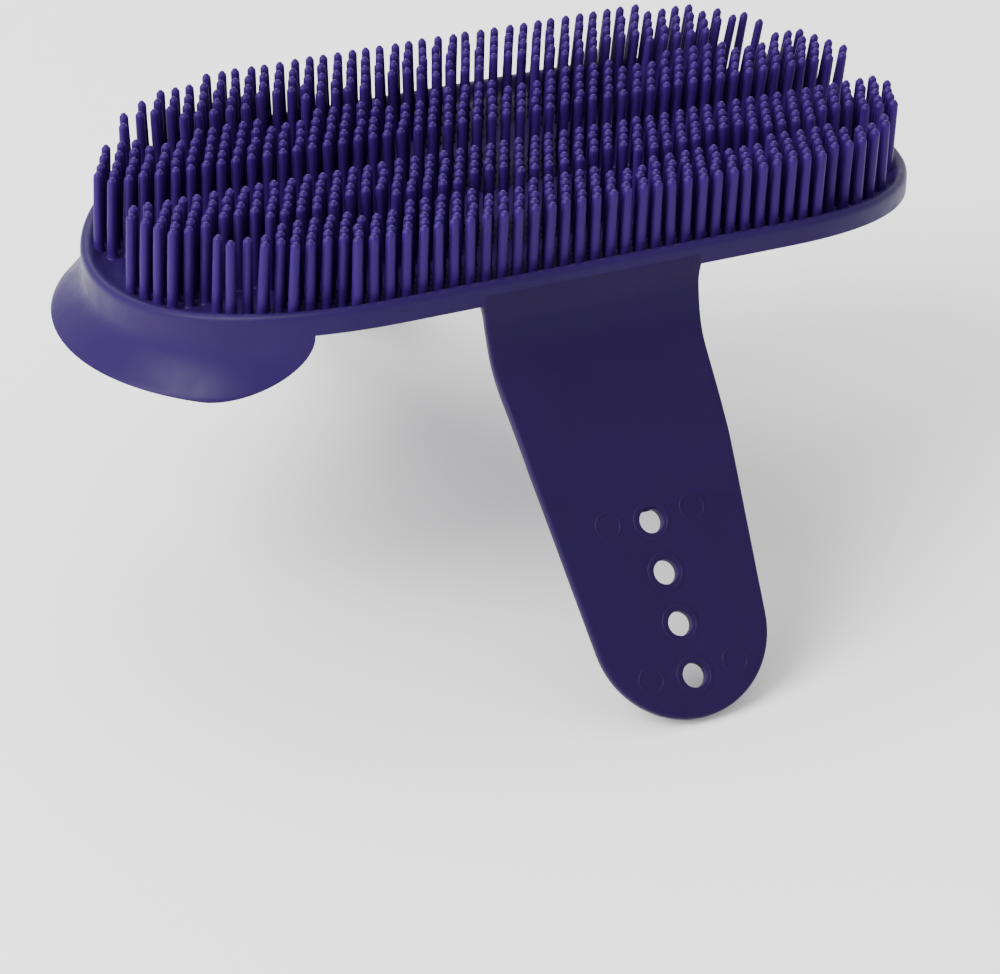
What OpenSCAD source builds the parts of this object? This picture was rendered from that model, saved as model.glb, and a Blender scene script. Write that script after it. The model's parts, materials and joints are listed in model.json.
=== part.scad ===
// Curry comb: a dished oval bristle pad with a thumb guard and a two-part hand strap.
// Origin: centre of the flat pad on the palm face. +X runs along the comb, +Z towards the
// bristle tips, and the hand strap with the holes leaves the comb on its -Y side.

/* [Comb body] */
// Overall length of the rim
comb_length = 182; // [170:1:200]
// Overall width of the rim
comb_width = 97; // [96:0.5:104]
// Radius that the whole comb is dished to, about an axis along X
dish_r = 192; // [150:1:400]
// Width of the rim's lip
lip_w = 2.8; // [2.4:0.1:2.8]
// Height of the rim's top edge over the palm pad, on the centreline
lip_top = 3.6; // [3:0.1:5]
// Depth of the rim's bottom edge under the palm pad, on the centreline
rim_drop = 1.7; // [1:0.1:3]
// Height of the floor that carries the bristles
floor_top = 2; // [1.9:0.1:2.6]
// Height of the palm face
floor_bottom = 0.4; // [0.2:0.1:0.5]
// Diameter of the flat pad in the middle of the palm face
pad_d = 14; // [8:1:20]

/* [Bristles] */
// Distance between rows, across the comb
row_pitch = 3.69; // [3.6:0.01:3.7]
// Distance between bristles in a row
bristle_pitch = 3.36; // [3.2:0.01:3.8]
// Diameter of a bristle at its base
bristle_base_d = 2.2; // [2:0.1:2.6]
// Diameter of a bristle at its tip
bristle_tip_d = 1.9; // [1:0.1:2]
// Height of the bristle tips on the centreline
tip_height = 19.7; // [12:0.1:24]
// Rise of the tips towards the edges, for each mm of distance squared
tip_rise = 0.0016; // [0:0.0001:0.003]
// Thickness of the strip that a band of bristles stands on
strip_t = 0.8; // [0.7:0.1:1]

/* [Thumb guard] */
// Angle round the end of the comb where the guard starts, from +X
guard_from = 137; // [130:1:160]
// Angle where it ends
guard_to = 249.5; // [230:0.5:256]
// Depth of the guard's lip under the palm pad
guard_drop = 10.1; // [7:0.1:14]
// How far the lip flares out past the rim
guard_flare = 7.8; // [0:0.1:10]
// Wall thickness of the guard
guard_t = 2.2; // [1.8:0.1:2.6]
// Length over which the guard rounds off on the side of the peg strap
guard_corner_back = 8; // [6:1:20]
// The same on the side of the strap with the holes
guard_corner_front = 16; // [6:1:24]

/* [Hand strap] */
// Place of the strap's middle along the comb
strap_x = -1.8; // [-5:0.1:5]
// Thickness of both straps
strap_t = 2.2; // [2:0.1:2.4]
// Half width of the strap where it leaves the rim
root_half_w = 23.4; // [22:0.1:26]
// Half width after the bend
bend_half_w = 22.8; // [21:0.1:23]
// Half width where the end panel starts
end_half_w = 21.8; // [20:0.1:22]
// Radius of the rounded end
end_r = 18.5; // [15:0.1:19]
// Length of the root, down from the rim
root_len = 9.2; // [8:0.1:11]
// Radius of the outward bend
bend_r = 14; // [12:0.5:16]
// Lean of the root from straight down
root_lean = 12; // [8:1:14]
// Lean of the middle stretch
middle_lean = 47; // [42:1:50]
// Lean of the end panel
end_lean = 40.6; // [38:0.1:48]
// Length of the middle stretch on the strap with the holes
middle_len = 17.9; // [16:0.1:20]
// Length of the end panel with the holes
end_len = 54.1; // [52:0.1:60]
// Diameter of the button holes
hole_d = 5; // [4:0.1:6]
// Number of button holes
hole_count = 4; // [1:1:4]
// Distance between button holes
hole_pitch = 10.5; // [9:0.1:12]
// Distance from the last hole to the end of the strap
hole_margin = 8.4; // [7:0.1:10]

/* [Peg strap] */
// Length of the middle stretch on the strap with the pegs
peg_middle_len = 10; // [9:0.1:12]
// Length of the end panel with the pegs
peg_end_len = 55; // [50:0.1:60]
// Diameter of a peg's stem
peg_stem_d = 4.4; // [3:0.1:4.6]
// Diameter of a peg's head
peg_head_d = 6.4; // [5.5:0.1:7]
// Length of a peg's stem
peg_stem_len = 2.4; // [2.2:0.1:2.6]
// Height of a peg's head
peg_head_h = 1.6; // [1:0.1:1.8]

/* [Hidden] */

// First and last row of each band, counted from the centreline; channels run between them
inner_rows = [2, 6];
outer_rows = [8, 12];
// In the rows beside a side channel, three bristles in every eight are left out
pocket_rows = [6, 8];
pocket_period = 8;
pocket_reach = 1;
// Bristles start this deep in their strip
bristle_sink = 0.6;
// The outermost bristles grow into the foot of the rim's lip by up to this much
lip_bite = 0.55;
// Edge of a band of bristles past its outermost rows
band_margin = 1.6;

// Clearances at the strap's hinges: the moving end turns in a hollow in the fixed one
hinge_gap = 0.06;
knuckle_r = strap_t / 2 - 0.1;
hinge_setback = 0.75;
// The rounded end stops this far short of the strap's edges
knuckle_inset = 0.3;

end_centre_x = (comb_length - comb_width) / 2;
rim_r = comb_width / 2;
blue = "#3b45b8";
deep_blue = "#2c3596";
bristle_blue = "#4a50c4";
$fn = 64;

// Height of a dished surface, which is at the height h on the centreline
function dished(h, y) = dish_r - sqrt(pow(dish_r - h, 2) - y * y);

// Direction along the strap, and its outer side, for a lean from straight down
function along(lean) = [0, -sin(lean), -cos(lean)];
function outward(lean) = [0, -cos(lean), sin(lean)];

// Hinge lines of a strap, in order from the rim
root_top = [strap_x, 1.6 - rim_r, dished(-rim_drop, rim_r)];
hinge_1 = root_top + root_len * along(root_lean);
bend_centre = hinge_1 + bend_r * outward(root_lean);
hinge_2 = bend_centre - bend_r * outward(middle_lean);
function hinge_3(length) = hinge_2 + length * along(middle_lean);

module comb_outline(inset) {
    square([2 * end_centre_x, comb_width - 2 * inset], center = true);
    for (side = [-1, 1])
        translate([side * end_centre_x, 0])
            circle(r = rim_r - inset, $fn = 128);
}

// A round bar along X, used for dished surfaces and hinges
module bar(r, length) {
    rotate([0, 90, 0])
        cylinder(r = r, h = length, center = true, $fn = 128);
}

// Everything above the dished surface at the height h
module above(h) {
    translate([0, 0, dish_r])
        bar(dish_r - h, comb_length + 40);
}

// The dished layer between two heights, cut to a flat outline
module dished_layer(bottom, top) {
    difference() {
        intersection() {
            translate([0, 0, -10])
                linear_extrude(40)
                    children();
            above(bottom);
        }
        above(top);
    }
}

// Area of the floor that a band of rows covers; side is 1 at the back and -1 at the front
module band_area(rows, side) {
    low = rows[0] * row_pitch - band_margin;
    high = min(rows[1] * row_pitch + band_margin, rim_r);
    intersection() {
        comb_outline(lip_w);
        translate([-comb_length / 2, side > 0 ? low : -high])
            square([comb_length, high - low]);
    }
}

module back_plate() color(deep_blue) {
    difference() {
        dished_layer(floor_bottom, floor_top) comb_outline(lip_w);
        for (side = [-1, 1], rows = [inner_rows, outer_rows])
            dished_layer(floor_top - strip_t, floor_top + 1) band_area(rows, side);
    }
    cylinder(d = pad_d, h = floor_bottom + 0.6);
}

module rim() color(blue) {
    dished_layer(-rim_drop, lip_top)
        difference() {
            comb_outline(0);
            comb_outline(lip_w);
        }
}

// Half length of the row at a distance y from the centreline
function row_reach(y) =
    let (r = rim_r - lip_w - bristle_base_d / 2 + lip_bite)
    end_centre_x + sqrt(max(r * r - y * y, 0));

function in_pocket(row, i) =
    len(search(row, pocket_rows)) > 0
    && abs((i + 10 * pocket_period) % pocket_period - pocket_period / 2) <= pocket_reach;

module bristle_row(row, side) {
    y = row * row_pitch;
    offset_x = row % 2 == 0 ? 0 : bristle_pitch / 2;
    reach = row_reach(y);
    count = floor((reach + offset_x) / bristle_pitch);
    foot = dished(floor_top, y) - bristle_sink;
    tip = tip_height + tip_rise * y * y;
    for (i = [-count : count]) {
        x = i * bristle_pitch - offset_x;
        if (abs(x) <= reach && !in_pocket(row, i))
            translate([x, side * y, foot])
                cylinder(d1 = bristle_base_d, d2 = bristle_tip_d, h = tip - foot, $fn = 16);
    }
}

module bristle_band(rows, side) color(bristle_blue) {
    dished_layer(floor_top - strip_t, floor_top) band_area(rows, side);
    for (row = [rows[0] : rows[1]])
        bristle_row(row, side);
}

module bristles_outer_front() bristle_band(outer_rows, -1);

module bristles_inner_front() bristle_band(inner_rows, -1);

module bristles_inner_back() bristle_band(inner_rows, 1);

module bristles_outer_back() bristle_band(outer_rows, 1);

// The guard's wall is a grid of points: u runs from one end to the other and v down to the lip
guard_columns = 30;
guard_rows = 8;
guard_overrun = 0.6;
guard_end_share = 0.12;
guard_arc = rim_r * (guard_to - guard_from) * PI / 180;

// Share of its full depth that the guard has, which drops to a little at its rounded ends
function guard_share(u) =
    let (
        back = u * guard_arc / guard_corner_back,
        front = (1 - u) * guard_arc / guard_corner_front,
        c = 1 - min(back, front, 1)
    )
    max(guard_end_share, sqrt(1 - c * c));

function guard_point(u, v, inset) =
    let (
        angle = guard_from + u * (guard_to - guard_from),
        r = rim_r - inset,
        top = dished(-rim_drop, rim_r * sin(angle)),
        full = top + guard_drop,
        depth = -guard_overrun + v * (full * guard_share(u) + guard_overrun),
        flare = guard_flare * pow(max(depth, 0) / full, 2)
    )
    [-end_centre_x + r * cos(angle) - flare, r * sin(angle), top - depth];

function guard_index(side, i, j) = (side * (guard_columns + 1) + i) * (guard_rows + 1) + j;

module thumb_guard() color(blue) {
    points = [
        for (side = [0, 1], i = [0 : guard_columns], j = [0 : guard_rows])
            guard_point(i / guard_columns, j / guard_rows, side * guard_t)
    ];
    walls = [
        for (i = [0 : guard_columns - 1], j = [0 : guard_rows - 1])
            let (a = guard_index(0, i, j), b = guard_index(0, i + 1, j))
            each [[a, a + 1, b + 1], [a, b + 1, b]]
    ];
    inner_walls = [
        for (i = [0 : guard_columns - 1], j = [0 : guard_rows - 1])
            let (a = guard_index(1, i, j), b = guard_index(1, i + 1, j))
            each [[a, b + 1, a + 1], [a, b, b + 1]]
    ];
    edges = [
        for (i = [0 : guard_columns - 1], j = [0, guard_rows])
            let (
                a = guard_index(0, i, j), b = guard_index(0, i + 1, j),
                c = guard_index(1, i + 1, j), d = guard_index(1, i, j)
            )
            each j == 0 ? [[a, b, c], [a, c, d]] : [[a, c, b], [a, d, c]]
    ];
    ends = [
        for (j = [0 : guard_rows - 1], i = [0, guard_columns])
            let (
                a = guard_index(0, i, j), b = guard_index(0, i, j + 1),
                c = guard_index(1, i, j + 1), d = guard_index(1, i, j)
            )
            each i == 0 ? [[a, c, b], [a, d, c]] : [[a, b, c], [a, c, d]]
    ];
    difference() {
        polyhedron(points = points, faces = concat(walls, inner_walls, edges, ends));
        above(-rim_drop);
    }
}

// Sets the children's Y axis along a strap stretch and their -Z axis to the strap's outer side
module on_strap(place, lean) {
    translate(place)
        rotate([270 - lean, 0, 0])
            children();
}

// A flat stretch that tapers from one half width to another
module strap_slab(from, to, w1, w2) {
    translate([0, 0, -strap_t / 2])
        linear_extrude(strap_t)
            polygon([[-w1, from], [w1, from], [w2, to], [-w2, to]]);
}

module hinge_hollow(place) {
    translate(place)
        bar(strap_t / 2 + hinge_gap, 2 * root_half_w + 4);
}

module root_stretch() {
    difference() {
        on_strap(root_top, root_lean)
            strap_slab(-6, root_len - hinge_setback, root_half_w, root_half_w);
        above(-rim_drop);
        hinge_hollow(hinge_1);
    }
}

module bend_stretch() {
    sweep = middle_lean - root_lean - hinge_setback / bend_r * 180 / PI;
    difference() {
        union() {
            translate(bend_centre)
                rotate([90, 0, 90])
                    rotate([0, 0, -root_lean - sweep])
                        rotate_extrude(angle = sweep, $fn = 128)
                            translate([bend_r, 0])
                                square([strap_t, 2 * bend_half_w], center = true);
            translate(hinge_1)
                bar(knuckle_r, 2 * (bend_half_w - knuckle_inset));
        }
        hinge_hollow(hinge_2);
    }
}

module middle_stretch(length) {
    difference() {
        union() {
            on_strap(hinge_2, middle_lean)
                strap_slab(0, length - hinge_setback, bend_half_w, end_half_w);
            translate(hinge_2)
                bar(knuckle_r, 2 * (bend_half_w - knuckle_inset));
        }
        hinge_hollow(hinge_3(length));
    }
}

// Outline of an end panel: straight sides that run tangent into the round end
module end_outline(length) {
    centre = length - end_r;
    reach = sqrt(end_half_w * end_half_w + centre * centre);
    taper = acos(end_r / reach) - atan2(centre, end_half_w);
    side_x = end_r * cos(taper);
    side_y = centre + end_r * sin(taper);
    polygon([[-end_half_w, 0], [end_half_w, 0], [side_x, side_y], [-side_x, side_y]]);
    translate([0, centre])
        circle(r = end_r, $fn = 128);
}

module end_panel(length, middle) {
    on_strap(hinge_3(middle), end_lean)
        translate([0, 0, -strap_t / 2])
            linear_extrude(strap_t)
                end_outline(length);
    translate(hinge_3(middle))
        bar(knuckle_r, 2 * (end_half_w - knuckle_inset));
}

module strap_root() color(deep_blue) root_stretch();

module strap_bend() color(deep_blue) bend_stretch();

module strap_middle() color(deep_blue) middle_stretch(middle_len);

module strap_end() color(deep_blue) {
    difference() {
        end_panel(end_len, middle_len);
        on_strap(hinge_3(middle_len), end_lean)
            for (i = [0 : hole_count - 1])
                translate([0, end_len - hole_margin - i * hole_pitch, 0])
                    cylinder(d = hole_d, h = 2 * strap_t, center = true, $fn = 48);
    }
}

module peg_strap_root() color(deep_blue) mirror([0, 1, 0]) root_stretch();

module peg_strap_bend() color(deep_blue) mirror([0, 1, 0]) bend_stretch();

module peg_strap_middle() color(deep_blue) mirror([0, 1, 0]) middle_stretch(peg_middle_len);

module peg_strap_end() color(deep_blue) mirror([0, 1, 0]) end_panel(peg_end_len, peg_middle_len);

// A mushroom peg that stands on the outer face of the peg strap, and buttons into a hole
module peg(from_end) color(blue) {
    mirror([0, 1, 0])
        on_strap(hinge_3(peg_middle_len), end_lean)
            translate([0, peg_end_len - from_end, -strap_t / 2])
                mirror([0, 0, 1])
                    rotate_extrude($fn = 48)
                        polygon([
                            [0, 0], [peg_stem_d / 2, 0], [peg_stem_d / 2, peg_stem_len],
                            [peg_head_d / 2, peg_stem_len],
                            [peg_head_d / 2, peg_stem_len + peg_head_h / 3],
                            [peg_head_d / 4, peg_stem_len + peg_head_h],
                            [0, peg_stem_len + peg_head_h],
                        ]);
}

module peg_outer() peg(hole_margin);

module peg_inner() peg(hole_margin + hole_pitch);

back_plate();
rim();
thumb_guard();
bristles_outer_front();
bristles_inner_front();
bristles_inner_back();
bristles_outer_back();
strap_root();
strap_bend();
strap_middle();
strap_end();
peg_strap_root();
peg_strap_bend();
peg_strap_middle();
peg_strap_end();
peg_inner();
peg_outer();
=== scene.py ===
"""Curry comb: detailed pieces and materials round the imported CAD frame."""
import json
import math
import random

import bmesh
import bpy
import numpy as np
from mathutils import Matrix, Vector


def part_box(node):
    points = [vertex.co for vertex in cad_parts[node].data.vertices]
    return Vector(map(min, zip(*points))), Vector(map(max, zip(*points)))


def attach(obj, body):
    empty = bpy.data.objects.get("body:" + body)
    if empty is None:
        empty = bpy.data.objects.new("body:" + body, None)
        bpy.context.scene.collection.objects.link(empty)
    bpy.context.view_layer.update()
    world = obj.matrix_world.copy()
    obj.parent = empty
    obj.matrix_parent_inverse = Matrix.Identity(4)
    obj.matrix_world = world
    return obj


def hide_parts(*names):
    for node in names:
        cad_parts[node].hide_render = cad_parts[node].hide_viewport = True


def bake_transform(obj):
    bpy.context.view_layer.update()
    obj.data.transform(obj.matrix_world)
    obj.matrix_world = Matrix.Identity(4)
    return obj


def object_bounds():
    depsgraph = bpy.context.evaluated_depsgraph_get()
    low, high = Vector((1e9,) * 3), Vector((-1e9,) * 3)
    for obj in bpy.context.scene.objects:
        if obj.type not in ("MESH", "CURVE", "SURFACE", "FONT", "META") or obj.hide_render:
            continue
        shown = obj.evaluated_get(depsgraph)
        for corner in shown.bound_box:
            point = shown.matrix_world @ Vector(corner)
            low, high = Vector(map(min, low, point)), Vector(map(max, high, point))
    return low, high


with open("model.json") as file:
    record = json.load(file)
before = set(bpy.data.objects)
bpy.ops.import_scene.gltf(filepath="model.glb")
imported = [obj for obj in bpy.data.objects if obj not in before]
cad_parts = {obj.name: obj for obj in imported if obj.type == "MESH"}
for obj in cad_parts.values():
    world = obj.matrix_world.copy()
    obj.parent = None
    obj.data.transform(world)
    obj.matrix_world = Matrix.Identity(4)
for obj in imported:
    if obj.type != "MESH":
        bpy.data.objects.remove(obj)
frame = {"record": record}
cad_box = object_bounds()
MM = 0.001


# ---------------------------------------------------------------- driving sizes, in mm

def node_box(name):
    """Lowest and highest corner of a CAD node, in mm."""
    low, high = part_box(name)
    return np.array(low) / MM, np.array(high) / MM


rim_low, rim_high = node_box("rim")
guard_low, _ = node_box("thumb_guard")
COMB_LENGTH = rim_high[0] - rim_low[0]
COMB_WIDTH = rim_high[1] - rim_low[1]
RIM_R = COMB_WIDTH / 2
END_X = (COMB_LENGTH - COMB_WIDTH) / 2
# The floor, the rim and the palm face are dished about an axis along X, this far above them
DISH_R = 192.0
# On the centreline: how far the rim's bottom edge is under the palm pad's face
RIM_DROP = 1.7
# and how high the floor's two faces are over it
FLOOR_TOP = 2.0
FLOOR_BOTTOM = 0.4
PAD_R = 7.0

# The thumb guard runs between these angles round the outline, with rounded corners
GUARD_FROM, GUARD_TO = 137.0, 249.5
GUARD_DROP = -guard_low[2]
GUARD_FLARE = -(END_X + RIM_R) - guard_low[0]
CORNER_BACK, CORNER_FRONT = 8.0, 16.0
WALL_T = 2.2

ROW_PITCH = 3.69
BRISTLE_PITCH = 3.36
# Height of the tips on the centreline, and their rise per square millimetre of Y
TIP_HEIGHT = 19.7
TIP_RISE = 0.0016

STRAP_X = next(
    joint["pos_m"][0] / MM for joint in frame["record"]["behaviour"]["joints"]
    if joint["name"] == "strap_wrap"
)
STRAP_T = 2.2
HOLE_R = 2.5
HOLE_PITCH = 10.5
# From the strap's end to the centre of its last hole or peg
HOLE_MARGIN = 8.4
END_R = 18.5


def dished(height, y):
    """Height of a dished surface that is at the given height on the centreline."""
    return DISH_R - math.sqrt((DISH_R - height) ** 2 - y * y)


def smooth(t):
    """An even step from 0 to 1, for t from 0 to 1."""
    t = min(max(t, 0.0), 1.0)
    return t * t * (3 - 2 * t)


# ---------------------------------------------------------------- camera

def make_camera():
    """The camera of the reference view: a long lens, from the front left and above."""
    azimuth, elevation = math.radians(23.78), math.radians(30.52)
    forward = Vector((
        math.sin(azimuth) * math.cos(elevation),
        math.cos(azimuth) * math.cos(elevation),
        -math.sin(elevation),
    ))
    right = Vector((math.cos(azimuth), -math.sin(azimuth), 0))
    up = right.cross(forward)
    data = bpy.data.cameras.new("camera")
    data.sensor_width = 36
    data.lens = 99.13
    data.clip_start, data.clip_end = 0.01, 20
    camera = bpy.data.objects.new("camera", data)
    turn = Matrix((right, up, -forward)).transposed().to_4x4()
    camera.matrix_world = Matrix.Translation(Vector((-216.4, -489.1, 247.1)) * MM) @ turn
    bpy.context.collection.objects.link(camera)
    bpy.context.scene.camera = camera


make_camera()


# ---------------------------------------------------------------- materials

def plastic(name, color, deep, roughness, sheen_color, scatter):
    """Moulded plastic: slight colour drift, fine moulding texture, soft gloss and some scatter."""
    material = bpy.data.materials.new(name)
    material.use_nodes = True
    nodes, links = material.node_tree.nodes, material.node_tree.links
    shader = nodes["Principled BSDF"]
    place = nodes.new("ShaderNodeTexCoord")

    def noise(scale, detail):
        """A noise pattern that is fixed to the piece."""
        pattern = nodes.new("ShaderNodeTexNoise")
        pattern.inputs["Scale"].default_value = scale
        pattern.inputs["Detail"].default_value = detail
        links.new(place.outputs["Object"], pattern.inputs["Vector"])
        return pattern.outputs["Fac"]

    def spread(pattern, low, high):
        """The middle of a noise pattern's range, spread over low to high."""
        remap = nodes.new("ShaderNodeMapRange")
        remap.inputs["From Min"].default_value = 0.3
        remap.inputs["From Max"].default_value = 0.7
        remap.inputs["To Min"].default_value = low
        remap.inputs["To Max"].default_value = high
        links.new(pattern, remap.inputs["Value"])
        return remap.outputs["Result"]

    tint = nodes.new("ShaderNodeMix")
    tint.data_type = "RGBA"
    tint.inputs["A"].default_value = (*deep, 1)
    tint.inputs["B"].default_value = (*color, 1)
    links.new(spread(noise(38, 4), 0, 1), tint.inputs["Factor"])
    links.new(tint.outputs["Result"], shader.inputs["Base Color"])

    gloss = spread(noise(260, 6), roughness - 0.05, roughness + 0.06)
    links.new(gloss, shader.inputs["Roughness"])

    bump = nodes.new("ShaderNodeBump")
    bump.inputs["Strength"].default_value = 0.12
    bump.inputs["Distance"].default_value = 0.0001
    links.new(noise(1400, 3), bump.inputs["Height"])
    links.new(bump.outputs["Normal"], shader.inputs["Normal"])

    shader.inputs["Subsurface Weight"].default_value = scatter
    shader.inputs["Subsurface Radius"].default_value = (0.35, 0.3, 1.0)
    shader.inputs["Subsurface Scale"].default_value = 0.0015
    shader.inputs["Specular IOR Level"].default_value = 0.12
    shader.inputs["Sheen Weight"].default_value = 0.02
    shader.inputs["Sheen Roughness"].default_value = 0.4
    shader.inputs["Sheen Tint"].default_value = (*sheen_color, 1)
    return material


BODY = plastic("comb_plastic", (0.0150, 0.0036, 0.058), (0.0128, 0.0031, 0.050), 0.42,
               (0.5, 0.42, 0.95), 0.12)
BRISTLE = plastic("bristle_plastic", (0.0255, 0.0046, 0.100), (0.0215, 0.0039, 0.084), 0.40,
                  (0.5, 0.40, 0.95), 0.2)
# The same plastic as the comb, made darker: painted shade on the strap, which faces downward
STRAP_PAINTED_SHADE = plastic("strap_plastic_painted_shade", (0.0104, 0.0021, 0.039), (0.0089, 0.0018, 0.034), 0.46,
                (0.45, 0.40, 0.85), 0.1)


# ---------------------------------------------------------------- mesh helpers

# Points closer than the first, in metres, become one, and edges shorter than the second go
MERGE_DIST = 1e-6
DISSOLVE_DIST = 1e-7


def make_piece(name, points, faces, material, sharp=40):
    """A piece from points in mm, smooth except at edges sharper than the given angle."""
    mesh = bpy.data.meshes.new(name)
    mesh.from_pydata([tuple(float(c) * MM for c in p) for p in points], [], faces)
    mesh.validate()
    work = bmesh.new()
    work.from_mesh(mesh)
    bmesh.ops.remove_doubles(work, verts=work.verts, dist=MERGE_DIST)
    bmesh.ops.dissolve_degenerate(work, edges=work.edges, dist=DISSOLVE_DIST)
    bmesh.ops.recalc_face_normals(work, faces=work.faces)
    work.to_mesh(mesh)
    work.free()
    mesh.shade_smooth()
    mesh.set_sharp_from_angle(angle=math.radians(sharp))
    mesh.materials.append(material)
    piece = bpy.data.objects.new(name, mesh)
    bpy.context.collection.objects.link(piece)
    return piece


def grid_faces(rows, columns, wrap_rows=False, wrap_columns=False, start=0):
    """Quads of a grid of points, with rows or columns that may close on themselves."""
    faces = []
    for i in range(rows if wrap_rows else rows - 1):
        for j in range(columns if wrap_columns else columns - 1):
            a, b = i * columns, ((i + 1) % rows) * columns
            k = (j + 1) % columns
            faces.append([start + a + j, start + a + k, start + b + k, start + b + j])
    return faces


def full_turn(segments):
    """Angles of evenly spaced points round a circle."""
    return np.linspace(0, 2 * math.pi, segments, endpoint=False)


def lathe(profile, segments, place):
    """Points and faces of a solid of revolution; place(r, angle, h) sets each point."""
    points = [place(r, a, h) for r, h in profile for a in full_turn(segments)]
    faces = grid_faces(len(profile), segments, wrap_columns=True)
    faces.append(list(range(segments))[::-1])
    last = (len(profile) - 1) * segments
    faces.append([last + k for k in range(segments)])
    return points, faces


def merge(parts):
    """Joins several (points, faces) into one."""
    points, faces = [], []
    for some_points, some_faces in parts:
        shift = len(points)
        points.extend(some_points)
        faces.extend([[shift + k for k in f] for f in some_faces])
    return points, faces


# ---------------------------------------------------------------- rim and thumb guard

# Steps round the outline
RIGHT_END_STEPS = 72
STRAIGHT_STEPS = 28
BEHIND_GUARD_STEPS = 22
GUARD_STEPS = 90
BEFORE_GUARD_STEPS = 8


def stations():
    """Once round the outline: X on the comb's spine, outward direction and its angle."""
    found = []

    def arc(centre, angles):
        for a in angles:
            found.append((centre, math.cos(math.radians(a)), math.sin(math.radians(a)), a))

    def straight(side, xs):
        for x in xs:
            found.append((x, 0.0, side, 90.0 if side > 0 else 270.0))

    xs = np.linspace(END_X, -END_X, STRAIGHT_STEPS + 1)
    arc(END_X, np.linspace(-90, 90, RIGHT_END_STEPS, endpoint=False))
    straight(1, xs[:-1])
    arc(-END_X, np.linspace(90, GUARD_FROM, BEHIND_GUARD_STEPS, endpoint=False))
    # Closer together at both ends of the guard, where its corners turn
    turn = (1 - np.cos(np.linspace(0, math.pi, GUARD_STEPS + 1))) / 2
    arc(-END_X, GUARD_FROM + turn * (GUARD_TO - GUARD_FROM))
    arc(-END_X, np.linspace(GUARD_TO, 270, BEFORE_GUARD_STEPS + 1)[1:-1])
    straight(-1, xs[::-1][:-1])
    return found


def inside(station, inset):
    """X and Y of the point that is inset from the outline at a station."""
    x, nx, ny, _ = station
    return x + (RIM_R - inset) * nx, (RIM_R - inset) * ny


def guard_share(angle):
    """How much of its full depth the guard has at an angle round the end."""
    if not GUARD_FROM < angle < GUARD_TO:
        return 0.0
    back = (angle - GUARD_FROM) * math.pi / 180 * RIM_R / CORNER_BACK
    front = (GUARD_TO - angle) * math.pi / 180 * RIM_R / CORNER_FRONT
    c = 1 - min(back, front, 1)
    return math.sqrt(1 - c * c)


# Section of the lip: inset from the outline, and height on the centreline
LIP_SECTION = [
    (9.0, 1.55), (7.2, 1.82), (5.9, 2.0), (5.0, 2.13), (4.2, 2.36), (3.5, 2.68), (2.9, 3.04),
    (2.4, 3.32), (1.95, 3.5), (1.5, 3.59), (1.1, 3.58), (0.72, 3.42), (0.4, 3.13), (0.16, 2.75),
    (0.04, 2.3), (0.0, 1.8), (0.0, 1.1), (0.0, 0.4),
]
# The same for the rim's underside, from the side wall to the floor
UNDER_SECTION = [(2.28, 0.0), (2.5, 0.15), (2.95, 0.28), (3.8, 0.36), (5.5, 0.43), (9.0, 0.75)]
# The side wall starts this far, and EDGE_R more, over the rounding of its bottom edge
WALL_START = 0.5
WALL_STEPS = 16
EDGE_R = 0.5
EDGE_STEPS = 6


def rim_section(station):
    """The rim's closed section: lip, outer wall, bottom edge, inner wall and underside."""
    _, _, ny, angle = station
    share = guard_share(angle)
    full = dished(-RIM_DROP, RIM_R * ny) + GUARD_DROP
    depth_end = full * share

    def point(inset, height):
        px, py = inside(station, inset)
        return (px, py, dished(height, py))

    def wall_point(inset, drop):
        """A point that is drop under the rim's bottom edge, less the edge's own rounding."""
        flare = GUARD_FLARE * (max(drop, 0) / (full + EDGE_R)) ** 2 if share else 0
        px, py = inside(station, inset)
        top = dished(-RIM_DROP + EDGE_R, RIM_R * ny)
        return (px - flare, py, top - drop)

    start = -WALL_START - EDGE_R
    drops = [start + (depth_end - start) * k / WALL_STEPS for k in range(WALL_STEPS + 1)]
    section = [point(*p) for p in LIP_SECTION]
    section += [wall_point(0, d) for d in drops]
    for k in range(1, EDGE_STEPS):
        a = math.pi * k / EDGE_STEPS
        inset = WALL_T / 2 * (1 - math.cos(a))
        section.append(wall_point(inset, depth_end + EDGE_R * math.sin(a)))
    section += [wall_point(WALL_T, d) for d in drops[::-1][:-1]]
    section += [point(*p) for p in UNDER_SECTION]
    return section


def make_rim():
    """Rim and thumb guard as one skin, swept round the outline."""
    sections = [rim_section(s) for s in stations()]
    points = [p for s in sections for p in s]
    faces = grid_faces(len(sections), len(sections[0]), wrap_rows=True, wrap_columns=True)
    piece = make_piece("rim_and_guard", points, faces, BODY, sharp=60)
    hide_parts("rim", "thumb_guard")
    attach(piece, "comb")


# ---------------------------------------------------------------- floor

# The floor's outermost ring lies this far inside the outline, hidden in the lip
FLOOR_INSET = 3.4
FLOOR_RINGS = 22
PAD_SEGMENTS = 64


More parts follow.
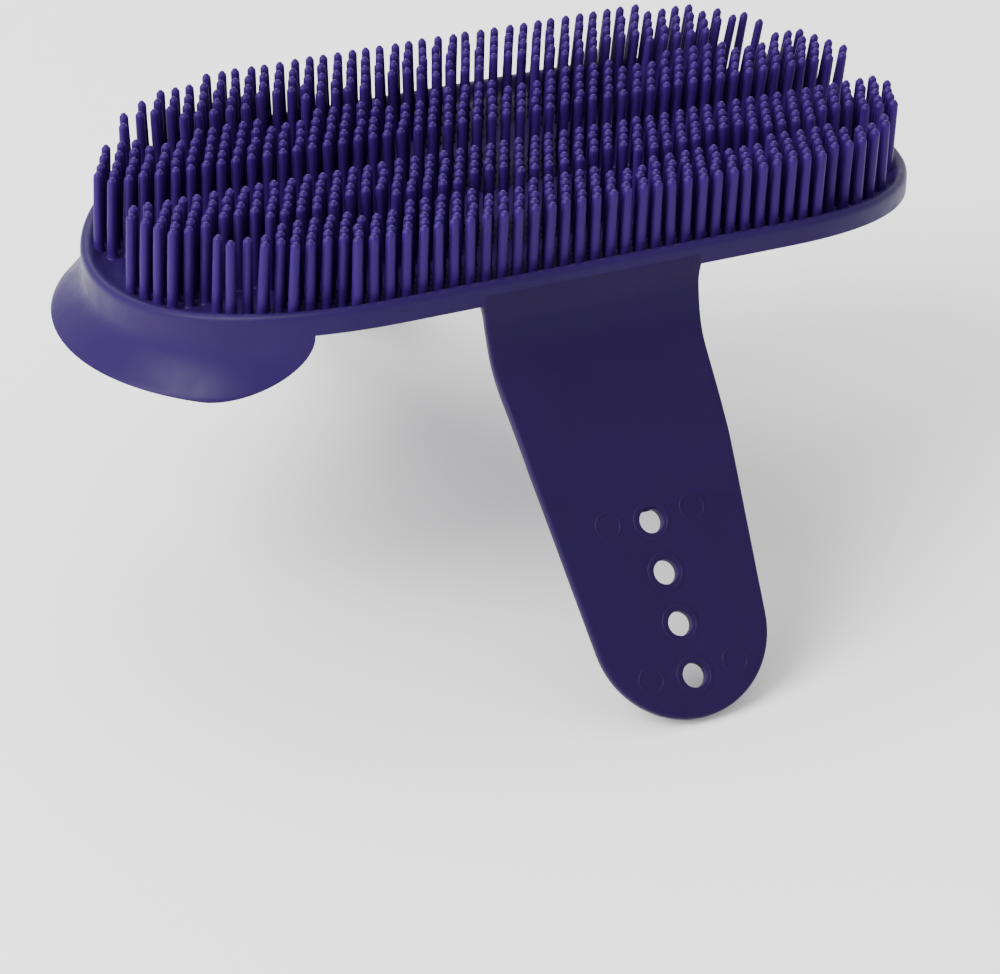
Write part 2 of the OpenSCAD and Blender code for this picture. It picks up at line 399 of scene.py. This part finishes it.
def make_floor():
    """The dished floor: rings that shrink from the rim's fillet to the spine, above and below."""
    ring = stations()
    insets = np.linspace(FLOOR_INSET, RIM_R, FLOOR_RINGS)

    def layer(height):
        places = [inside(station, inset) for inset in insets for station in ring]
        return [(px, py, dished(height, py)) for px, py in places]

    count = len(ring)
    top, bottom = layer(FLOOR_TOP), layer(FLOOR_BOTTOM)
    under = len(top)
    faces = grid_faces(FLOOR_RINGS, count, wrap_columns=True)
    faces += [f[::-1] for f in grid_faces(FLOOR_RINGS, count, wrap_columns=True, start=under)]
    for j in range(count):
        k = (j + 1) % count
        faces.append([j, k, under + k, under + j])

    def on_pad(r, angle, h):
        return (r * math.cos(angle), r * math.sin(angle), h)

    # The palm pad's edge, rounded into the underside, down to its flat face
    pad_profile = [
        (PAD_R + 0.9, 0.6), (PAD_R + 0.5, 0.42), (PAD_R + 0.2, 0.22), (PAD_R + 0.02, 0.08),
        (PAD_R - 0.25, 0.0),
    ]
    pad = lathe(pad_profile, PAD_SEGMENTS, on_pad)
    points, faces = merge([(top + bottom, faces), pad])
    piece = make_piece("floor_plate", points, faces, BODY)
    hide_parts("back_plate")
    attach(piece, "comb")


# ---------------------------------------------------------------- bristles

# Radius of the round ends of the field, through the centres of its outermost feet
FIELD_R = RIM_R - 3.35
# Rows are counted from the centreline, where a channel takes rows 0 and 1, and row 7 is another
INNER_ROWS = range(2, 7)
OUTER_ROWS = range(8, 13)
# In the rows beside the outer channel, three bristles of every eight are missing
POCKET_ROWS = (6, 8)
POCKET_PERIOD = 8
BRISTLE_SEGMENTS = 12
# Each bristle is shorter by up to this much, and leans a little its own way
HEIGHT_SPREAD = 0.2
LEAN_SPREAD_X, LEAN_SPREAD_Y = 0.17, 0.14
# The foot follows the slope of the floor up to this height
FOOT_HEIGHT = 3
# Over 1, so that a bristle is straighter at its foot
LEAN_POWER = 1.2


def row_places(row):
    """Places of a row's bristles along X: odd rows are half a step across."""
    y = row * ROW_PITCH
    reach = END_X + math.sqrt(max(FIELD_R * FIELD_R - y * y, 0))
    shift = 0 if row % 2 == 0 else BRISTLE_PITCH / 2
    count = int((reach + shift) / BRISTLE_PITCH)
    for i in range(-count, count + 1):
        x = i * BRISTLE_PITCH - shift
        pocket = row in POCKET_ROWS and abs(i % POCKET_PERIOD - POCKET_PERIOD / 2) <= 1
        if abs(x) <= reach and not pocket:
            yield x


def bristle_profile(height):
    """Radius and height: a foot with a fillet, a slim taper, a shoulder and a small nub."""
    return [
        (1.6, -0.2), (1.36, 0.05), (1.22, 0.28), (1.13, 0.7), (1.09, 1.8),
        (1.02, height * 0.5), (0.96, height - 1.5), (0.94, height - 0.9),
        (0.87, height - 0.66), (0.73, height - 0.5), (0.6, height - 0.4),
        (0.52, height - 0.2), (0.36, height - 0.05), (0.12, height),
    ]


def field_lean(x, y):
    """How far the tips stand off their feet: most of all towards +X at the back."""
    to_right, to_left = smooth((x + 10) / 85), smooth((-45 - x) / 35)
    to_back = smooth((y + 20) / 50)
    lean_x = 0.3 + 2.6 * to_right * to_back + 0.7 * to_left * (1 - smooth((y - 20) / 12))
    lean_y = (0.9 + 0.5 * to_left) * smooth((y - 18) / 22) - 0.4 * smooth((-y - 25) / 15)
    return lean_x, lean_y


def make_bristle(x, y, draw):
    """One bristle, with its foot on the dished floor and a slight lean of its own."""
    foot = dished(FLOOR_TOP, y)
    height = TIP_HEIGHT + TIP_RISE * y * y - foot - draw.uniform(0.0, HEIGHT_SPREAD)
    lean_x, lean_y = field_lean(x, y)
    lean_x += draw.gauss(0, LEAN_SPREAD_X)
    lean_y += draw.gauss(0, LEAN_SPREAD_Y)
    turn = draw.uniform(0, math.pi)

    def place(r, angle, h):
        share = max(h / height, 0)
        px, py = r * math.cos(angle + turn), r * math.sin(angle + turn)
        follow = 1 - smooth(h / FOOT_HEIGHT)
        ground = foot + follow * (dished(FLOOR_TOP, y + py) - foot)
        bend = share ** LEAN_POWER
        return (x + px + lean_x * bend, y + py + lean_y * bend, ground + h)

    return lathe(bristle_profile(height), BRISTLE_SEGMENTS, place)


def make_bristles():
    """One skin for each of the four bands."""
    bands = {
        "bristles_outer_front": (OUTER_ROWS, -1),
        "bristles_inner_front": (INNER_ROWS, -1),
        "bristles_inner_back": (INNER_ROWS, 1),
        "bristles_outer_back": (OUTER_ROWS, 1),
    }
    draw = random.Random(7)
    for name, (rows, side) in bands.items():
        parts = [
            make_bristle(x, side * row * ROW_PITCH, draw)
            for row in rows for x in row_places(row)
        ]
        piece = make_piece(name + "_skin", *merge(parts), BRISTLE, sharp=60)
        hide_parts(name)
        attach(piece, "comb")


# ---------------------------------------------------------------- hand strap

# Middle of the strap's thickness in the rim's bottom edge, as Y and Z
ROOT_TOP = np.array([1.6 - RIM_R, dished(-RIM_DROP, RIM_R)])
ROOT_HALF_W = 23.6
BEND_HALF_W = 22.8
END_HALF_W = 21.8
# The root widens into the rim by this much at its top, over this length
ROOT_FLARE, ROOT_FLARE_LEN = 0.4, 3.5
EDGE_ROUND = 0.6
# How far the outer face stands out where it leaves the rim's side wall, and where that ends
APRON = 1.0
APRON_END, APRON_LEN = 4.5, 7.5
# Lengths along the strap from the rim: hinge 1, the arc to hinge 2, and the start in the rim
ROOT_LEN = 9.2
BEND_ARC = 8.55
STRAP_START = -2.5
# The end panel is flat from here on, past hinge 3
FLAT_AFTER = 12

# Steps along the strap's curve, and how many of them its smoothing takes in
CURVE_STEP = 0.25
SMOOTH_STEPS = 27
# Steps of the skin: along, across, round an edge, round the end, and beside the end
LOFT_STEP = 0.8
ACROSS = 24
EDGE_TURNS = 4
END_TURNS = 48
SIDE_STEPS = 10
HOLE_EDGE_TURNS = 3
HOLE_SEGMENTS = 40
RING_SEGMENTS = 48
PEG_SEGMENTS = 40

# Raised rings on the outer face: radius, half width and height
HOLE_RING = (HOLE_R + 1.05, 0.42, 0.16)
ROUND_MARK = (2.55, 0.3, 0.14)
RING_TURNS = 6
MARK_X = 9.2


class Strap:
    """Half of the hand strap. side is -1 at the front, where Y is negative, and 1 at the back."""

    def __init__(self, side, middle_len, end_len, leans):
        self.side = side
        self.hinge_2 = ROOT_LEN + BEND_ARC
        self.hinge_3 = self.hinge_2 + middle_len
        self.length = self.hinge_3 + end_len
        self.flat_from = self.hinge_3 + FLAT_AFTER
        # Just over one step further, so that the curve reaches past the end
        self.steps = np.arange(STRAP_START, self.length + CURVE_STEP * 1.04, CURVE_STEP)
        lean_s, lean = zip(*leans)
        raw = np.interp(self.steps, lean_s, lean)
        padded = np.pad(raw, SMOOTH_STEPS // 2, mode="edge")
        kernel = np.hanning(SMOOTH_STEPS)
        self.lean = np.radians(np.convolve(padded, kernel / kernel.sum(), mode="valid"))
        # The middle line starts at the rim and follows the lean, outward and down
        outward = np.concatenate([[0], np.cumsum(np.sin(self.lean[:-1]) * CURVE_STEP)])
        down = np.concatenate([[0], np.cumsum(np.cos(self.lean[:-1]) * CURVE_STEP)])
        zero = int(round(-STRAP_START / CURVE_STEP))
        self.out = -ROOT_TOP[0] + outward - outward[zero]
        self.z = ROOT_TOP[1] - (down - down[zero])

    def centre(self, s):
        """The middle of the strap at the length s."""
        return np.array([
            STRAP_X,
            self.side * np.interp(s, self.steps, self.out),
            np.interp(s, self.steps, self.z),
        ])

    def at(self, x, s, n):
        """A point: x across, s along, n out from the middle of the thickness."""
        lean = np.interp(s, self.steps, self.lean)
        normal = np.array([0, self.side * math.cos(lean), math.sin(lean)])
        # At the top the outer face runs out into the rim's side wall
        apron = APRON * smooth((APRON_END - s) / APRON_LEN) * smooth((n + STRAP_T / 2) / STRAP_T)
        across = np.array([x, 0, 0])
        return tuple(self.centre(s) + across + (n + apron) * normal)

    def half_width(self, s):
        """Half the strap's width at the length s."""
        if s < self.hinge_2:
            down = max(s, 0)
            flare = ROOT_FLARE * max(1 - down / ROOT_FLARE_LEN, 0) ** 2
            return ROOT_HALF_W + (BEND_HALF_W - ROOT_HALF_W) * down / self.hinge_2 + flare
        if s < self.hinge_3:
            share = (s - self.hinge_2) / (self.hinge_3 - self.hinge_2)
            return BEND_HALF_W + (END_HALF_W - BEND_HALF_W) * share
        return END_HALF_W - (s - self.hinge_3) * math.tan(self.taper())

    def taper(self):
        """Angle of the end panel's sides, which run tangent into its round end."""
        centre = self.length - self.hinge_3 - END_R
        reach = math.hypot(END_HALF_W, centre)
        return math.acos(END_R / reach) - math.atan2(centre, END_HALF_W)

    def edge_profile(self):
        """Inset and height over the strap's edge, from the outer face to the inner one."""
        half = STRAP_T / 2
        turns = [math.pi / 2 * k / EDGE_TURNS for k in range(EDGE_TURNS + 1)]
        upper = [
            (EDGE_ROUND * (1 - math.sin(a)), half - EDGE_ROUND * (1 - math.cos(a))) for a in turns
        ]
        return upper + [(inset, -n) for inset, n in upper[::-1]]

    def section(self, s):
        """A closed loop of points round the strap at s, from the outer face's left edge."""
        half_w, profile = self.half_width(s), self.edge_profile()
        flat_w = half_w - EDGE_ROUND
        xs = np.linspace(-flat_w, flat_w, ACROSS + 1)
        loop = [self.at(x, s, STRAP_T / 2) for x in xs[:-1]]
        loop += [self.at(half_w - inset, s, n) for inset, n in profile[:-1]]
        loop += [self.at(x, s, -STRAP_T / 2) for x in xs[::-1][:-1]]
        loop += [self.at(-half_w + inset, s, n) for inset, n in profile[::-1][:-1]]
        return loop

    def loft(self, start, end, cap_end=True):
        """The strap's skin from start to end."""
        count = max(int(round((end - start) / LOFT_STEP)), 2)
        loops = [self.section(s) for s in np.linspace(start, end, count + 1)]
        size = len(loops[0])
        faces = grid_faces(len(loops), size, wrap_columns=True)
        faces.append(list(range(size))[::-1])
        if cap_end:
            faces.append([(len(loops) - 1) * size + k for k in range(size)])
        return [p for loop in loops for p in loop], faces

    def outline(self, inset):
        """The end panel's edge as (x, s), from one side round the end to the other."""
        taper, centre = self.taper(), self.length - END_R
        r = END_R - inset
        first = self.half_width(self.flat_from) - inset
        turns = np.linspace(taper, math.pi - taper, END_TURNS + 1)
        round_end = [(r * math.cos(a), centre + r * math.sin(a)) for a in turns]
        start = np.array([first, self.flat_from])
        along = np.array(round_end[0]) - start
        lead = [tuple(start + along * k / SIDE_STEPS) for k in range(SIDE_STEPS)]
        tail = [(-x, s) for x, s in lead[::-1]]
        return lead + round_end + tail

    def panel(self, holes):
        """The flat end panel, with its rounded edge and any button holes."""
        profile = self.edge_profile()
        edge = [[self.at(x, s, n) for x, s in self.outline(inset)] for inset, n in profile]
        count = len(edge[0])
        parts = [([p for loop in edge for p in loop], grid_faces(len(edge), count))]
        flat_w = self.half_width(self.flat_from) - EDGE_ROUND
        back = [(x, self.flat_from) for x in np.linspace(-flat_w, flat_w, ACROSS + 1)[1:-1]]
        r = HOLE_R + EDGE_ROUND / 2
        hole_rings = [
            [(r * math.cos(a), s + r * math.sin(a)) for a in full_turn(HOLE_SEGMENTS)]
            for s in holes
        ]
        for inset, n in (profile[0], profile[-1]):
            parts.append(self.fill([self.outline(inset) + back] + hole_rings, n))
        for s in holes:
            parts.append(self.hole_wall(s))
        return merge(parts)

    def fill(self, rings, n):
        """A flat face with holes in it, as triangles."""
        work = bmesh.new()
        for ring in rings:
            made = [work.verts.new((x, s, 0)) for x, s in ring]
            for k, vertex in enumerate(made):
                work.edges.new((vertex, made[(k + 1) % len(made)]))
        bmesh.ops.triangle_fill(work, edges=work.edges, use_beauty=True, use_dissolve=False)
        work.verts.index_update()
        points = [self.at(v.co.x, v.co.y, n) for v in work.verts]
        faces = [[v.index for v in f.verts] for f in work.faces]
        work.free()
        return points, faces

    def hole_wall(self, s):
        """The wall of a button hole, with both its edges rounded."""
        half, e = STRAP_T / 2, EDGE_ROUND / 2
        turns = [math.pi / 2 * k / HOLE_EDGE_TURNS for k in range(HOLE_EDGE_TURNS + 1)]
        upper = [(HOLE_R + e * (1 - math.sin(a)), half - e * (1 - math.cos(a))) for a in turns]
        profile = upper + [(r, -n) for r, n in upper[::-1]]
        points = [
            self.at(r * math.cos(a), s + r * math.sin(a), n)
            for r, n in profile for a in full_turn(HOLE_SEGMENTS)
        ]
        return points, grid_faces(len(profile), HOLE_SEGMENTS, wrap_columns=True)

    def ring_mark(self, x, s, r, width, height):
        """A faint raised ring on the outer face."""
        turns = np.linspace(0, math.pi, RING_TURNS + 1)
        profile = [(r + width * math.cos(a), height * math.sin(a) - 0.02) for a in turns]
        profile.append((r, -0.3))
        points = [
            self.at(x + q * math.cos(a), s + q * math.sin(a), STRAP_T / 2 + n)
            for q, n in profile for a in full_turn(RING_SEGMENTS)
        ]
        return points, grid_faces(len(profile), RING_SEGMENTS, wrap_rows=True, wrap_columns=True)


def blend_over(piece, strap, start, end):
    """Bakes a skin's transform into its mesh; it bends nothing, and start and end have no effect.
    """
    tuple(strap.centre(start) * MM)
    tuple(strap.centre(end) * MM)
    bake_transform(piece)


def make_strap(strap, prefix, holes, marks):
    """Three skins that share the strap's length, split halfway round the bend and halfway along
    the middle part.
    """
    mid_bend = ROOT_LEN + BEND_ARC / 2
    mid_middle = (strap.hinge_2 + strap.hinge_3) / 2

    upper = make_piece(prefix + "_upper", *strap.loft(STRAP_START, mid_bend), STRAP_PAINTED_SHADE)
    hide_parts(prefix + "_root", prefix + "_bend")
    blend_over(upper, strap, 5.2, mid_bend - 0.4)

    middle = make_piece(prefix + "_middle_skin", *strap.loft(mid_bend, mid_middle), STRAP_PAINTED_SHADE)
    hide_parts(prefix + "_middle")
    blend_over(middle, strap,
               mid_bend + 0.3, mid_middle - 0.3)

    parts = [strap.loft(mid_middle, strap.flat_from, cap_end=False), strap.panel(holes)]
    parts += [strap.ring_mark(0, s, *HOLE_RING) for s in holes]
    parts += [strap.ring_mark(x, s, *ROUND_MARK) for x, s in marks]
    lower = make_piece(prefix + "_end_skin", *merge(parts), STRAP_PAINTED_SHADE)
    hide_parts(prefix + "_end")
    blend_over(lower, strap,
               mid_middle + 0.3, strap.flat_from - 0.5)


def make_peg(strap, s, name):
    """A mushroom peg with a fillet at its foot and a domed head."""
    profile = [
        (3.1, -0.25), (2.75, 0.06), (2.45, 0.26), (2.26, 0.6), (2.2, 1.1), (2.2, 2.2),
        (2.34, 2.38), (2.75, 2.42), (3.05, 2.5), (3.18, 2.7), (3.16, 2.95), (2.95, 3.3),
        (2.45, 3.68), (1.7, 3.9), (0.8, 3.98), (0.15, 4.0),
    ]

    def place(r, angle, h):
        return strap.at(r * math.cos(angle), s + r * math.sin(angle), STRAP_T / 2 + h)

    piece = make_piece(name + "_skin", *lathe(profile, PEG_SEGMENTS, place), STRAP_PAINTED_SHADE)
    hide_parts(name)
    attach(piece, "peg_strap_end")


def make_straps():
    """The strap with the button holes at the front, and the one with the pegs at the back."""
    # The leans are pairs of a length along the strap and the angle from straight down
    front = Strap(-1, middle_len=17.9, end_len=54.1, leans=[
        (-5, 11), (4, 11.5), (9, 17), (13.5, 30.5), (17.5, 47), (24, 47), (32, 44), (40, 41),
        (45, 40.6), (95, 40.6),
    ])
    holes = [front.length - HOLE_MARGIN - k * HOLE_PITCH for k in range(4)]
    marks = [(x, hole - 0.9) for hole in (holes[0], holes[-1]) for x in (-MARK_X, MARK_X)]
    make_strap(front, "strap", holes, marks)

    back = Strap(1, middle_len=10.0, end_len=55.0, leans=[
        (-5, 11), (4, 11.5), (9, 17), (13.5, 30), (17.5, 45), (22, 46), (28, 42.5), (33, 41),
        (38, 40.6), (95, 40.6),
    ])
    outer_peg = back.length - HOLE_MARGIN
    inner_peg = outer_peg - HOLE_PITCH
    make_strap(back, "peg_strap", [], [(x, inner_peg - 12) for x in (-MARK_X, MARK_X)])
    make_peg(back, outer_peg, "peg_outer")
    make_peg(back, inner_peg, "peg_inner")


make_rim()
make_floor()
make_bristles()
make_straps()


# ---------------------------------------------------------------- floor, world and lights

def make_stage():
    """A plain pale floor just under the straps."""
    material = bpy.data.materials.new("stage_white")
    material.use_nodes = True
    shader = material.node_tree.nodes["Principled BSDF"]
    shader.inputs["Base Color"].default_value = (0.94, 0.94, 0.94, 1)
    shader.inputs["Roughness"].default_value = 0.85
    size, z = 6.0, cad_box[0].z - 0.0005
    mesh = bpy.data.meshes.new("stage_floor")
    mesh.from_pydata([(-size, -size, z), (size, -size, z), (size, size, z), (-size, size, z)],
                     [], [[0, 1, 2, 3]])
    mesh.materials.append(material)
    floor = bpy.data.objects.new("stage_floor", mesh)
    bpy.context.collection.objects.link(floor)


def area_light(name, place, size, power):
    """A rectangular light that shines at the comb."""
    data = bpy.data.lights.new(name, "AREA")
    data.shape = "RECTANGLE"
    data.size, data.size_y = size
    data.energy = power
    light = bpy.data.objects.new(name, data)
    light.location = place
    light.rotation_mode = "QUATERNION"
    light.rotation_quaternion = (-Vector(place)).to_track_quat("-Z", "Y")
    bpy.context.collection.objects.link(light)


def make_light():
    """An even white surround, a large key from the left and a softer light from behind."""
    world = bpy.data.worlds.new("studio")
    world.use_nodes = True
    back = world.node_tree.nodes["Background"]
    back.inputs["Color"].default_value = (1, 1, 1, 1)
    back.inputs["Strength"].default_value = 1.15
    bpy.context.scene.world = world
    area_light("key_left", (-0.9, -0.15, 0.75), (0.7, 0.9), 26)
    area_light("top_back", (0.1, 0.8, 1.0), (1.2, 0.7), 14)


make_stage()
make_light()
